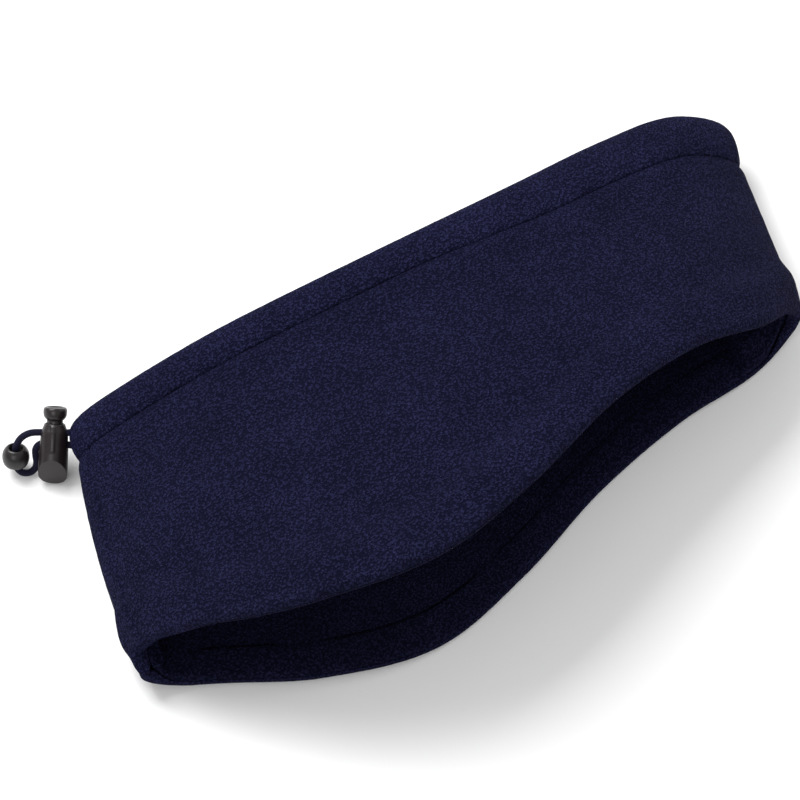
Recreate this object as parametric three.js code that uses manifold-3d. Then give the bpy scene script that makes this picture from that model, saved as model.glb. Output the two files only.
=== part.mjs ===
// Fleece headband with a drawcord, lying on its side. Millimetres, +Z up, floor at z = 0.
// +X runs from the back fold to the front fold, +Y from the contoured edge to the straight edge.
import * as THREE from 'three';
import { mergeVertices } from 'three/addons/utils/BufferGeometryUtils.js';
import Module from 'manifold-3d';

const wasm = await Module();
wasm.setup();

// Outline of the band as it lies, between its two folds
const topLength = 274;
const backDepth = 103;
const frontDepth = 97;
const backLean = 28;
const frontLean = 21;
const earDrop = 41;
const topDip = 14;
const frontFall = 8;
const backBow = 3.5;

// Heights of the loop, to the middle of the wall
const topOpening = 54;
const bottomOpening = 72;
const lowerSag = 13;
const settle = 1;

// Fleece
const fleece = 2.5;
const layerGap = 0.3;
const pieceGap = 0.3;
const channelDepth = 14;
const channelThickness = 7.9;
const channelWall = 2.3;
const stitchPinch = 0.6;
const rimDepth = 11;
const rimSwell = 1.1;
const seamGroove = 0.8;
const seamWidth = 2.6;
const seamOffset = 7;

// Cord
const cordDiameter = 2.3;
const cordClearance = 0.5;
const cordDown = 6.5;
const cordDrift = 3;
const cordEndTurn = 0.04;

// Cord lock, along its axis from the middle of its cross hole
const barrelDiameter = 11;
const barrelBelow = 17.4;
const mouthHeight = 5.6;
const mouthDiameter = 7.8;
const shoulderHeight = 2.6;
const boreDiameter = 6.6;
const boreFloor = -8.8;
const slantHeight = -7.4;
const slantInset = 8.1;
const ribWidth = 1.8;
const ribProud = 0.3;
const ribFloor = -4.3;
const crossWidth = 3.6;
const crossTop = 3.8;
const crossFloor = -4.6;
const stroke = 1.2;
const plungerClearance = 0.3;
const plungerFloor = -6.3;
const headUnderside = 6.9;
const headTop = 11.7;
const headDiameter = 8.8;
const dishDepth = 0.7;

// Bead
const beadDiameter = 10.2;
const beadLength = 9;
const beadHole = 4.3;
const beadCavity = 6.8;
const cavityDepth = 3.3;

// Where the lock and the bead rest, with the lean of each axis off the vertical
const lockSeat = { x: -133.5, y: 70.4, z: 13.6, lean: 52, heading: 34.4 };
const beadSeat = { x: -147.94, y: 74.39, z: 7.4, lean: 19, heading: 30.5 };

// Route of the free cord, from the upper panel through the lock and the bead to the lower panel
const loopRoute = [
  [-120.7, 65.4, 21.7],
  [-124.1, 66.6, 18.0],
  [-128.2, 68.9, 15.4],
  [-132.6, 71.7, 14.8],
  [-136.8, 74.4, 15.0],
  [-140.6, 76.2, 15.0],
  [-144.0, 76.7, 13.7],
  [-146.6, 75.9, 11.3],
  [-147.6, 74.9, 8.3],
  [-148.5, 73.7, 5.4],
  [-149.0, 72.1, 2.9],
  [-148.0, 70.2, 1.4],
  [-145.7, 68.8, 1.4],
  [-143.4, 68.6, 2.8],
  [-142.0, 69.6, 5.0],
  [-141.5, 70.9, 7.3],
  [-140.8, 71.9, 9.6],
  [-139.1, 72.0, 11.6],
  [-136.6, 70.6, 12.6],
  [-133.8, 68.7, 12.6],
  [-130.9, 66.8, 12.2],
  [-127.8, 65.1, 11.2],
  [-124.7, 63.8, 9.9],
  [-121.8, 62.5, 8.6],
];
const loopSteps = 40;

// Shares of the named sizes at shares of the length from the back fold (0) to the front fold (1)
const outline = [
  { along: 0.00, dip: 0.00, fall: 0.00, drop: 0.00 },
  { along: 0.08, dip: 0.30, fall: 0.00, drop: 0.28 },
  { along: 0.20, dip: 0.58, fall: 0.00, drop: 0.72 },
  { along: 0.35, dip: 0.87, fall: 0.00, drop: 1.00 },
  { along: 0.50, dip: 1.00, fall: 0.00, drop: 0.80 },
  { along: 0.65, dip: 0.94, fall: 0.00, drop: 0.44 },
  { along: 0.80, dip: 0.66, fall: 0.00, drop: 0.22 },
  { along: 0.92, dip: 0.36, fall: 0.12, drop: 0.16 },
  { along: 1.00, dip: 0.12, fall: 1.00, drop: 0.00 },
];

const wallHalf = fleece + layerGap / 2;
const channelHalf = channelThickness / 2;
const foldHeight = lowerSag + wallHalf - settle;

// A column of the table at a share of the length, as one smooth curve through its rows
function shareAt(column, along) {
  const last = outline.length - 1;
  let row = 0;
  while (row < last - 1 && outline[row + 1].along < along) row += 1;
  const slope = (i) => {
    const a = outline[Math.max(i - 1, 0)];
    const b = outline[Math.min(i + 1, last)];
    return (b[column] - a[column]) / (b.along - a.along);
  };
  const from = outline[row];
  const to = outline[row + 1];
  const span = to.along - from.along;
  const t = (along - from.along) / span;
  const rise = to[column] - from[column];
  const bend = slope(row) * span - rise;
  const bendOut = rise - slope(row + 1) * span;
  return from[column] + t * rise + t * (1 - t) * ((1 - t) * bend + t * bendOut);
}

// The top and bottom edges over one place of the loop, seen from above
function edgesAt(turn) {
  const along = (1 - Math.cos(2 * Math.PI * turn)) / 2;
  const half = topLength / 2;
  const top = new THREE.Vector2(
    THREE.MathUtils.lerp(-half, half, along),
    -topDip * shareAt('dip', along) - frontFall * shareAt('fall', along),
  );
  const bottom = new THREE.Vector2(
    THREE.MathUtils.lerp(-half - backLean, half - frontLean, along),
    -THREE.MathUtils.lerp(backDepth, frontDepth, along) - earDrop * shareAt('drop', along),
  );
  return { top, bottom, depth: top.distanceTo(bottom) };
}

// How far the outside stands from the middle of the wall where the band rests on the floor
function restHalf(down, depth) {
  if (down < channelDepth) {
    const share = Math.max(down, 0) / channelDepth;
    return wallHalf + (channelHalf - wallHalf) * Math.sin(Math.PI * share) ** 2;
  }
  return wallHalf + rimSwell * THREE.MathUtils.smoothstep(down, depth - rimDepth - 3, depth - rimDepth);
}

// The middle of the wall, turn from 0 at the back fold over the upper panel, down from the top edge
function middleAt(turn, down) {
  const { top, bottom, depth } = edgesAt(turn);
  const place = top.clone().lerp(bottom, down / depth);
  const back = (1 + Math.cos(2 * Math.PI * turn)) / 2;
  place.x -= backBow * back ** 4 * Math.sin(Math.PI * THREE.MathUtils.clamp(down / depth, 0, 1));
  const side = Math.sin(2 * Math.PI * turn);
  const opening = THREE.MathUtils.lerp(topOpening, bottomOpening, down / depth);
  const spread = opening * Math.abs(side);
  const sag = lowerSag * Math.tanh(spread / 2 / lowerSag);
  const height = side > 0 ? foldHeight + spread - sag : foldHeight - sag;
  return new THREE.Vector3(place.x, place.y, Math.max(height, restHalf(down, depth)));
}

// A point of the band that lies out from the middle of its wall
function bandPoint(turn, down, out) {
  const step = 1e-3;
  const around = middleAt(turn + step, down).sub(middleAt(turn - step, down));
  const across = middleAt(turn, down + step).sub(middleAt(turn, down - step));
  const normal = across.cross(around).normalize();
  const point = middleAt(turn, down).addScaledVector(normal, out);
  const contact = 0.05;
  if (point.z < contact) point.z = 0;
  return point;
}

// A closed geometry, with its faces turned outwards
function closedGeometry(points, triangles) {
  let volume = 0;
  for (const [a, b, c] of triangles) {
    volume += points[a].dot(points[b].clone().cross(points[c]));
  }
  const index = triangles.flatMap(([a, b, c]) => (volume > 0 ? [a, b, c] : [a, c, b]));
  const geometry = new THREE.BufferGeometry();
  geometry.setFromPoints(points);
  geometry.setIndex(index);
  return geometry;
}

// A profile of [down, out] pairs carried round the band through the given turns
function sweepRound(profileAt, turns, closed) {
  const rings = turns.map((turn) => profileAt(turn).map(([down, out]) => bandPoint(turn, down, out)));
  const size = rings[0].length;
  const points = rings.flat();
  const triangles = [];
  const ringCount = closed ? rings.length : rings.length - 1;
  for (let i = 0; i < ringCount; i += 1) {
    const here = i * size;
    const next = ((i + 1) % rings.length) * size;
    for (let j = 0; j < size; j += 1) {
      const k = (j + 1) % size;
      triangles.push([here + j, here + k, next + k], [here + j, next + k, next + j]);
    }
  }
  if (!closed) {
    const end = (rings.length - 1) * size;
    for (let j = 1; j < size - 1; j += 1) {
      triangles.push([0, j + 1, j], [end, end + j, end + j + 1]);
    }
  }
  return closedGeometry(points, triangles);
}

// Solids that are cut or joined
function toSolid(geometry) {
  const bare = geometry.clone();
  bare.deleteAttribute('normal');
  bare.deleteAttribute('uv');
  const merged = mergeVertices(bare, 1e-4);
  const vertProperties = new Float32Array(merged.attributes.position.array);
  const corners = merged.index.array;
  const kept = [];
  for (let i = 0; i < corners.length; i += 3) {
    const [a, b, c] = corners.slice(i, i + 3);
    if (a !== b && b !== c && c !== a) kept.push(a, b, c);
  }
  return new wasm.Manifold(new wasm.Mesh({ numProp: 3, vertProperties, triVerts: new Uint32Array(kept) }));
}

function fromSolid(solid) {
  const mesh = solid.getMesh();
  const geometry = new THREE.BufferGeometry();
  geometry.setAttribute('position', new THREE.BufferAttribute(new Float32Array(mesh.vertProperties), 3));
  geometry.setIndex(new THREE.BufferAttribute(new Uint32Array(mesh.triVerts), 1));
  return geometry;
}

function materialOf(color, roughness) {
  return new THREE.MeshStandardMaterial({ color, roughness, metalness: 0 });
}

function named(name, geometry, material) {
  const mesh = new THREE.Mesh(geometry, material);
  mesh.name = name;
  return mesh;
}

// Places round the loop, with three more at the back seam
const loopSections = 60;
const seamTurn = seamOffset / (2 * Math.PI * (topOpening + bottomOpening) / 4);
const seamTurns = [-1, 0, 1].map((step) => seamTurn + (step * seamWidth / 2) / (Math.PI * bottomOpening));
const evenTurns = Array.from({ length: loopSections }, (_, i) => i / loopSections);
const clearOfSeam = (turn) => Math.abs(turn - seamTurn) > 1.5 * (seamTurns[1] - seamTurns[0]);
const turns = [...evenTurns.filter(clearOfSeam), ...seamTurns].sort((a, b) => a - b);

// Rows that both fleece layers share, from the stitch line to the rim
function facingRows(depth) {
  const start = channelDepth + pieceGap / 2;
  const plain = depth - rimDepth - start;
  return [start, start + plain * 0.33, start + plain * 0.67, depth - rimDepth, depth - 0.8];
}

const layerStart = channelDepth + pieceGap / 2;

function outerShell() {
  const profileAt = (turn) => {
    const { depth } = edgesAt(turn);
    const rows = facingRows(depth);
    const sunk = Math.abs(turn - seamTurn) < 1e-6 ? seamGroove : 0;
    const out = wallHalf - sunk;
    return [
      [layerStart, wallHalf - stitchPinch],
      [layerStart + 3, out],
      [rows[1], out],
      [rows[2], out],
      [depth - rimDepth - 3, out],
      [depth - rimDepth, out + rimSwell],
      [depth - 3, out + rimSwell * 0.7],
      [depth - 0.7, out - 0.4],
      [depth, 0.9],
      ...rows.reverse().map((down) => [down, layerGap / 2]),
    ];
  };
  return sweepRound(profileAt, turns, true);
}

function lining() {
  const profileAt = (turn) => {
    const { depth } = edgesAt(turn);
    const rows = facingRows(depth);
    return [
      [layerStart, stitchPinch - wallHalf],
      [layerStart + 3, -wallHalf],
      [rows[1], -wallHalf],
      [rows[2], -wallHalf],
      [depth - rimDepth, -wallHalf - rimSwell / 2],
      [depth - 2.5, -wallHalf - rimSwell / 2],
      [depth - 0.5, -wallHalf + 0.6],
      [depth + 0.2, -0.9],
      ...rows.reverse().map((down) => [down, -layerGap / 2]),
    ];
  };
  return sweepRound(profileAt, turns, true);
}

// The casing folded over the top edge, with its two legs sewn down at the stitch line
function channel() {
  const wall = channelWall;
  const end = channelDepth - pieceGap / 2;
  const outside = [
    [end, wallHalf - stitchPinch],
    [end - 2.5, channelHalf - 0.9],
    [channelDepth * 0.58, channelHalf],
    [channelDepth * 0.32, channelHalf - 0.1],
    [channelDepth * 0.12, channelHalf - 1.3],
    [0, channelHalf - 3.2],
  ];
  const inside = [
    [wall, channelHalf - wall - 1.1],
    [channelDepth * 0.32, channelHalf - wall],
    [channelDepth * 0.58, channelHalf - wall],
    [end - 2.5, layerGap],
    [end, layerGap / 2],
  ];
  const mirrored = (rows) => rows.map(([down, out]) => [down, -out]).reverse();
  const profile = [...outside, ...mirrored(outside), ...mirrored(inside), ...inside];
  return sweepRound(() => profile, turns, true);
}

// A round of [radius, height] pairs about the Z axis
function turned(profile, sides) {
  const points = profile.map(([radius, height]) => new THREE.Vector2(radius, height));
  return new THREE.LatheGeometry(points, sides).rotateX(Math.PI / 2);
}

// A round bar that follows a curve
function tubeAlong(curve, diameter, steps) {
  const sides = 8;
  const corners = Array.from({ length: sides }, (_, i) => {
    const angle = (2 * Math.PI * (i + 0.5)) / sides;
    return new THREE.Vector2(Math.cos(angle), Math.sin(angle)).multiplyScalar(diameter / 2);
  });
  return new THREE.ExtrudeGeometry(new THREE.Shape(corners), { steps, extrudePath: curve });
}

function curveThrough(points) {
  return new THREE.CatmullRomCurve3(points.map((point) => new THREE.Vector3(...point)));
}

// The cord held in the channel, round the band from one cord end to the other
function heldCord() {
  const sides = 8;
  const steps = 64;
  const cordTurns = Array.from({ length: steps + 1 }, (_, i) => (
    THREE.MathUtils.lerp(cordEndTurn, 1 - cordEndTurn, i / steps)
  ));
  const profileAt = (turn) => Array.from({ length: sides }, (_, i) => {
    const angle = (2 * Math.PI * (i + 0.5)) / sides;
    const down = cordDown + cordDrift * (turn - 0.5);
    return [down + (cordDiameter / 2) * Math.cos(angle), (cordDiameter / 2) * Math.sin(angle)];
  });
  return sweepRound(profileAt, cordTurns, false);
}

// An upright slot with round ends, cut through along X
function slotAlongX(width, floor, top) {
  const half = width / 2;
  const shape = new THREE.Shape();
  shape.absarc(0, floor + half, half, Math.PI, 2 * Math.PI, false);
  shape.absarc(0, top - half, half, 0, Math.PI, false);
  const geometry = new THREE.ExtrudeGeometry(shape, {
    depth: 2 * barrelDiameter,
    bevelEnabled: false,
    curveSegments: 10,
  });
  geometry.translate(0, 0, -barrelDiameter);
  return geometry.rotateX(Math.PI / 2).rotateZ(Math.PI / 2);
}

function lockBarrel() {
  const radius = barrelDiameter / 2;
  const mouth = mouthDiameter / 2;
  const body = toSolid(turned([
    [0, -barrelBelow],
    [radius * 0.5, -barrelBelow + 0.2],
    [radius * 0.8, -barrelBelow + 1.1],
    [radius * 0.96, -barrelBelow + 2.7],
    [radius, -barrelBelow + 5],
    [radius * 0.95, shoulderHeight - 2],
    [radius * 0.9, shoulderHeight],
    [mouth, mouthHeight - 0.4],
    [mouth - 0.3, mouthHeight],
    [0, mouthHeight],
  ], 28));

  const ribShape = new THREE.Shape([
    new THREE.Vector2(mouth - 1, mouthHeight - 0.6),
    new THREE.Vector2(mouth + ribProud, mouthHeight - 0.6),
    new THREE.Vector2(radius * 0.9 + ribProud, shoulderHeight),
    new THREE.Vector2(radius * 0.97 + ribProud, ribFloor),
    new THREE.Vector2(mouth - 1, ribFloor),
  ]);
  const ribBar = new THREE.ExtrudeGeometry(ribShape, { depth: ribWidth, bevelEnabled: false });
  ribBar.translate(0, 0, -ribWidth / 2);
  ribBar.rotateX(Math.PI / 2).rotateZ(-Math.PI / 2);

  const boreLength = mouthHeight - boreFloor + 1;
  const bore = new THREE.CylinderGeometry(boreDiameter / 2, boreDiameter / 2, boreLength, 24);
  bore.rotateX(Math.PI / 2).translate(0, 0, boreFloor + boreLength / 2);

  const slantDrop = slantHeight + barrelBelow;
  const slantAngle = Math.atan2(slantDrop, slantInset);
  const block = new THREE.BoxGeometry(2 * barrelBelow, 2 * barrelBelow, 2 * barrelBelow);
  block.translate(0, 0, barrelBelow);
  block.rotateX(Math.PI - slantAngle).translate(0, -radius, slantHeight);

  return fromSolid(
    body
      .add(toSolid(ribBar))
      .subtract(toSolid(bore))
      .subtract(toSolid(slotAlongX(crossWidth, crossFloor, crossTop)))
      .subtract(toSolid(block)),
  );
}

function lockPlunger() {
  const stem = boreDiameter / 2 - plungerClearance;
  const head = headDiameter / 2;
  const body = toSolid(turned([
    [0, plungerFloor],
    [stem - 0.3, plungerFloor],
    [stem, plungerFloor + 0.3],
    [stem, headUnderside],
    [stem + 0.6, headUnderside + 0.5],
    [head - 0.2, headUnderside + 1.4],
    [head, headUnderside + 2.5],
    [head, headTop - 1],
    [head - 0.3, headTop - 0.3],
    [head - 0.8, headTop],
    [head - 1.2, headTop - 0.2],
    [head * 0.5, headTop - dishDepth * 0.8],
    [0, headTop - dishDepth],
  ], 24));
  return fromSolid(body.subtract(toSolid(slotAlongX(crossWidth, crossFloor, crossTop + stroke))));
}

function endBead() {
  const radius = beadDiameter / 2;
  const half = beadLength / 2;
  const hole = beadHole / 2;
  const cavity = beadCavity / 2;
  return turned([
    [hole + 0.3, half],
    [hole, half - 0.4],
    [hole, -half + cavityDepth],
    [cavity, -half + cavityDepth],
    [cavity, -half],
    [radius * 0.74, -half],
    [radius * 0.87, -half * 0.76],
    [radius * 0.97, -half * 0.38],
    [radius, 0],
    [radius * 0.94, half * 0.4],
    [radius * 0.75, half * 0.78],
    [hole + 0.9, half],
    [hole + 0.3, half],
  ], 20);
}

// A group that stands at a seat, its Z axis leaning towards the heading
function seated(seat, ...meshes) {
  const group = new THREE.Group();
  group.position.set(seat.x, seat.y, seat.z);
  const { degToRad } = THREE.MathUtils;
  group.rotation.set(-degToRad(seat.lean), 0, -degToRad(seat.heading), 'ZXY');
  group.add(...meshes);
  return group;
}

const navy = materialOf(0x1d1d38, 0.95);
const darkNavy = materialOf(0x191930, 0.95);
const channelNavy = materialOf(0x1e1e3a, 0.95);
const cordNavy = materialOf(0x14142a, 0.8);
const lockBrown = materialOf(0x3a3432, 0.35);
const plungerBrown = materialOf(0x3c3634, 0.35);
const beadGrey = materialOf(0x46413e, 0.35);

const layers = [outerShell(), lining()];
const casing = channel();
const box = new THREE.Box3().setFromArray(layers[0].attributes.position.array);
box.union(new THREE.Box3().setFromArray(layers[1].attributes.position.array));
box.union(new THREE.Box3().setFromArray(casing.attributes.position.array));
const middle = box.getCenter(new THREE.Vector3());

// The cord leaves the channel through the holes that its two ends need
const endPoints = 4;
const cutter = (points) => {
  const route = curveThrough(points.map(([x, y, z]) => [x + middle.x, y + middle.y, z]));
  return toSolid(tubeAlong(route, cordDiameter + 2 * cordClearance, 10));
};
const cutCasing = toSolid(casing)
  .subtract(cutter(loopRoute.slice(0, endPoints)))
  .subtract(cutter(loopRoute.slice(-endPoints)));

const band = new THREE.Group();
band.position.set(-middle.x, -middle.y, 0);
band.add(named('outer_shell', layers[0], navy));
band.add(named('lining', layers[1], darkNavy));
band.add(named('drawcord_channel', fromSolid(cutCasing), channelNavy));
band.add(named('drawcord', heldCord(), cordNavy));

const loop = tubeAlong(curveThrough(loopRoute), cordDiameter, loopSteps);
const headband = new THREE.Group();
headband.add(band);
headband.add(named('drawcord_loop', loop, cordNavy.clone()));
headband.add(seated(
  lockSeat,
  named('cord_lock_barrel', lockBarrel(), lockBrown),
  named('cord_lock_plunger', lockPlunger(), plungerBrown),
));
headband.add(seated(beadSeat, named('cord_end_bead', endBead(), beadGrey)));

export default headband;
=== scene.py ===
import math
import bmesh
import bpy
import numpy as np
from mathutils import Matrix, Vector, noise


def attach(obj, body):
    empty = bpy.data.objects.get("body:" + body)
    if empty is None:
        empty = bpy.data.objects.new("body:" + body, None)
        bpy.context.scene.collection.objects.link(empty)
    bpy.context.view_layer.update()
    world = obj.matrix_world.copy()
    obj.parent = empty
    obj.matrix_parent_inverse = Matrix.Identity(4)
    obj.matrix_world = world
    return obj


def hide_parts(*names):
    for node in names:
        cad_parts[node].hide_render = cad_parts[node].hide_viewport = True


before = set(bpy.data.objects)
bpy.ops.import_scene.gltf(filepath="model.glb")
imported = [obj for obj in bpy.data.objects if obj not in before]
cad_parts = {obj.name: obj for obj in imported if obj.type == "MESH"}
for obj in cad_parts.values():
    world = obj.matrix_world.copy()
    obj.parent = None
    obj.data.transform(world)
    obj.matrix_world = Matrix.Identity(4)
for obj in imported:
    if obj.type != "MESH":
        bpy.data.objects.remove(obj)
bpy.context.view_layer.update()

bl_info = {
    "name": "Fleece headband",
    "version": (1, 0, 0),
    "blender": (4, 5, 0),
    "location": "3D View > Sidebar > Headband",
    "description": "A fleece headband with a drawcord, a cord lock and a bead, lying on its side",
    "category": "Add Mesh",
}

MM = 0.001

# Outline of the band as it lies, in millimetres, as the solids have it
TOP_LENGTH = 274.0
BACK_DEPTH = 103.0
FRONT_DEPTH = 97.0
BACK_LEAN = 28.0
FRONT_LEAN = 21.0
EAR_DROP = 41.0
TOP_DIP = 14.0
FRONT_FALL = 8.0
BACK_BOW = 3.5
TOP_OPENING = 54.0
BOTTOM_OPENING = 72.0
LOWER_SAG = 13.0
SETTLE = 1.0
BAND_MIDDLE = np.array([-14.1, -70.9854, 0.0])

# Layers of the band, in millimetres
FLEECE = 2.5
LAYER_GAP = 0.3
PIECE_GAP = 0.3
CHANNEL_DEPTH = 14.0
CHANNEL_THICKNESS = 7.9
CHANNEL_WALL = 2.3
RIM_DEPTH = 11.0
RIM_SWELL = 1.1
SEAM_TURN = 7.0 / (2 * math.pi * (TOP_OPENING + BOTTOM_OPENING) / 4)
WALL_HALF = FLEECE + LAYER_GAP / 2
CHANNEL_HALF = CHANNEL_THICKNESS / 2
FOLD_HEIGHT = LOWER_SAG + WALL_HALF - SETTLE

# Shares at shares of the length from the back fold (0) to the front fold (1)
OUTLINE = np.array([
    # along, dip, fall, drop
    (0.00, 0.00, 0.00, 0.00),
    (0.08, 0.30, 0.00, 0.28),
    (0.20, 0.58, 0.00, 0.72),
    (0.35, 0.87, 0.00, 1.00),
    (0.50, 1.00, 0.00, 0.80),
    (0.65, 0.94, 0.00, 0.44),
    (0.80, 0.66, 0.00, 0.22),
    (0.92, 0.36, 0.12, 0.16),
    (1.00, 0.12, 1.00, 0.00),
])
DIP, FALL, DROP = 1, 2, 3

# The stitch line runs lower than the solids' over the front half of the upper panel
SEAM_BACK = 1.4
SEAM_FRONT = 6.6
SEAM_END = 0.4

# The hem inside the rim, and the bulk of the seams that fill the two folds at the rim
HEM_SWELL = 2.0
HEM_FALL = 1.1
BACK_BULK = 4.6
FRONT_BULK = 3.0
FRONT_FLAP = 6.0

# How much shorter the upper panel is than the plain edge: by the back fold, over the ear, at the front
BACK_LIFT = 7.5
EAR_LIFT = 2.4
FRONT_LIFT = -2.0

# The turned rim, round from the outside to the inside face
RIM_ROUND = 3.4
RIM_MIDDLE = 0.25

# Clumps of the pile and pitch of the cord's braid
PILE_SIZE = 2.6
BRAID_PITCH = 2.6
BRAID_RELIEF = 0.05

# Lock and bead, from the solids
LOCK_PLACE = Vector((-133.5, 70.4, 13.6))
LOCK_TURN = (52.0, 34.4)
BEAD_PLACE = Vector((-147.94, 74.39, 7.4))
BEAD_TURN = (27.0, 38.0)

# Route of the free cord, from the upper panel through the lock and the bead to the lower panel
LOOP_ROUTE = (
    (-120.7, 65.4, 21.7),
    (-124.1, 66.6, 18.0),
    (-128.2, 68.9, 15.4),
    (-132.6, 71.7, 14.8),
    (-136.8, 74.4, 15.0),
    (-140.6, 76.2, 15.0),
    (-144.0, 76.7, 13.7),
    (-146.6, 75.9, 11.3),
    (-147.6, 74.9, 8.3),
    (-148.5, 73.7, 5.4),
    (-149.0, 72.1, 2.9),
    (-148.0, 70.2, 1.4),
    (-145.7, 68.8, 1.4),
    (-143.4, 68.6, 2.8),
    (-142.0, 69.6, 5.0),
    (-141.5, 70.9, 7.3),
    (-140.8, 71.9, 9.6),
    (-139.1, 72.0, 11.6),
    (-136.6, 70.6, 12.6),
    (-133.8, 68.7, 12.6),
    (-130.9, 66.8, 12.2),
    (-127.8, 65.1, 11.2),
    (-124.7, 63.8, 9.9),
    (-121.8, 62.5, 8.6),
)


# Settings

class HeadbandSettings(bpy.types.PropertyGroup):
    """Sizes and colours of the headband that a user would change"""

    sections: bpy.props.IntProperty(
        name="Sections", description="Steps round the band", default=720, min=120, max=760)
    pile: bpy.props.FloatProperty(
        name="Pile height", description="How far the fleece pile rises and falls",
        default=0.00016, min=0.0, max=0.001, unit="LENGTH")
    waves: bpy.props.FloatProperty(
        name="Soft waves", description="How far the panel swells and sinks between its edges",
        default=0.0009, min=0.0, max=0.003, unit="LENGTH")
    fleece_color: bpy.props.FloatVectorProperty(
        name="Fleece", description="Colour of the fleece", subtype="COLOR",
        default=(0.0054, 0.0056, 0.0188), min=0.0, max=1.0)
    # The tip colour is a painted highlight: the tops of the pile's clumps are drawn in it as if they caught the
    # light.
    tip_highlight_color: bpy.props.FloatVectorProperty(
        name="Tip highlights", description="Colour of the tips of the pile that catch the light",
        subtype="COLOR", default=(0.0250, 0.0262, 0.0800), min=0.0, max=1.0)


class CordSettings(bpy.types.PropertyGroup):
    """Sizes and colours of the cord, the lock and the bead that a user would change"""

    cord_diameter: bpy.props.FloatProperty(
        name="Cord diameter", description="Diameter of the drawcord",
        default=0.0026, min=0.001, max=0.004, unit="LENGTH")
    cord_color: bpy.props.FloatVectorProperty(
        name="Cord", description="Colour of the braided cord", subtype="COLOR",
        default=(0.0022, 0.0024, 0.0120), min=0.0, max=1.0)
    lock_color: bpy.props.FloatVectorProperty(
        name="Lock", description="Colour of the lock's plastic", subtype="COLOR",
        default=(0.0118, 0.0082, 0.0092), min=0.0, max=1.0)
    bead_color: bpy.props.FloatVectorProperty(
        name="Bead", description="Colour of the bead's plastic", subtype="COLOR",
        default=(0.0112, 0.0096, 0.0100), min=0.0, max=1.0)


# Shape of the band

def share_at(column, along):
    """A column of the outline table at shares of the length, as one smooth curve."""
    rows = OUTLINE
    last = len(rows) - 1
    row = np.clip(np.searchsorted(rows[:, 0], along, side="left") - 1, 0, last - 1)

    def slope(i):
        low = rows[np.maximum(i - 1, 0)]
        high = rows[np.minimum(i + 1, last)]
        return (high[..., column] - low[..., column]) / (high[..., 0] - low[..., 0])

    span = rows[row + 1, 0] - rows[row, 0]
    part = (along - rows[row, 0]) / span
    rise = rows[row + 1, column] - rows[row, column]
    bend = slope(row) * span - rise
    bend_out = rise - slope(row + 1) * span
    return rows[row, column] + part * rise + part * (1 - part) * ((1 - part) * bend + part * bend_out)


def mix(low, high, share):
    return low + (high - low) * share


def smooth_step(value, low, high):
    share = np.clip((value - low) / (high - low), 0.0, 1.0)
    return share * share * (3 - 2 * share)


def edges_at(turn):
    """The top and bottom edges of the band over places of the loop, and the depth between them."""
    along = (1 - np.cos(2 * np.pi * turn)) / 2
    half = TOP_LENGTH / 2
    top = np.stack([mix(-half, half, along),
                    -TOP_DIP * share_at(DIP, along) - FRONT_FALL * share_at(FALL, along)], -1)
    bottom = np.stack([mix(-half - BACK_LEAN, half - FRONT_LEAN, along),
                       -mix(BACK_DEPTH, FRONT_DEPTH, along) - EAR_DROP * share_at(DROP, along)], -1)
    depth = np.linalg.norm(top - bottom, axis=-1)
    short = rim_lift(turn)
    bottom = bottom + (top - bottom) * (short / depth)[..., None]
    return top, bottom, depth - short


def rim_lift(turn):
    """How much shorter the upper panel is than the plain edge over places of the loop."""
    near = (turn + 0.5) % 1.0 - 0.5
    back = smooth_step(near, -0.012, 0.014) * (1 - smooth_step(near, 0.04, 0.12))
    ear = smooth_step(near, 0.06, 0.10) * (1 - smooth_step(near, 0.19, 0.25))
    front = smooth_step(near, 0.22, 0.29) * (1 - smooth_step(near, 0.40, 0.46))
    return BACK_LIFT * back + EAR_LIFT * ear + FRONT_LIFT * front


def rest_half(down, depth):
    """How far the outside stands from the middle of the wall where the band rests."""
    share = np.clip(down, 0, CHANNEL_DEPTH) / CHANNEL_DEPTH
    puff = WALL_HALF + (CHANNEL_HALF - WALL_HALF) * np.sin(np.pi * share) ** 2
    rim = WALL_HALF + RIM_SWELL * smooth_step(down, depth - RIM_DEPTH - 3, depth - RIM_DEPTH)
    return np.where(down < CHANNEL_DEPTH, puff, rim)


def middle_at(turn, down):
    """The middle of the wall, round the loop and down from the top edge."""
    top, bottom, depth = edges_at(turn)
    share = down / depth
    x = mix(top[..., 0], bottom[..., 0], share)
    y = mix(top[..., 1], bottom[..., 1], share)
    back = (1 + np.cos(2 * np.pi * turn)) / 2
    x = x - BACK_BOW * back ** 4 * np.sin(np.pi * np.clip(share, 0, 1))
    side = np.sin(2 * np.pi * turn)
    spread = mix(TOP_OPENING, BOTTOM_OPENING, share) * np.abs(side)
    sag = LOWER_SAG * np.tanh(spread / 2 / LOWER_SAG)
    height = np.where(side > 0, FOLD_HEIGHT + spread - sag, FOLD_HEIGHT - sag)
    return np.stack([x, y, np.maximum(height, rest_half(down, depth))], -1)


def band_points(turn, down, out):
    """Points of the band that lie out from the middle of its wall, in millimetres."""
    step = 1e-3
    around = middle_at(turn + step, down) - middle_at(turn - step, down)
    across = middle_at(turn, down + step) - middle_at(turn, down - step)
    normal = np.cross(across, around)
    normal /= np.linalg.norm(normal, axis=-1, keepdims=True)
    points = middle_at(turn, down) + normal * np.asarray(out)[..., None]
    points[..., 2] = np.where(points[..., 2] < 0.05, 0.0, points[..., 2])
    return points - BAND_MIDDLE


def seam_down(turn):
    """How far down the stitch line of the channel runs over places of the loop."""
    from_fold = np.abs((turn + 0.5) % 1.0 - 0.5)
    front = smooth_step(from_fold, 0.235, 0.325)
    end = smooth_step(from_fold, 0.42, 0.5)
    return CHANNEL_DEPTH + mix(SEAM_BACK, SEAM_FRONT, front) - SEAM_END * end


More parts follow.
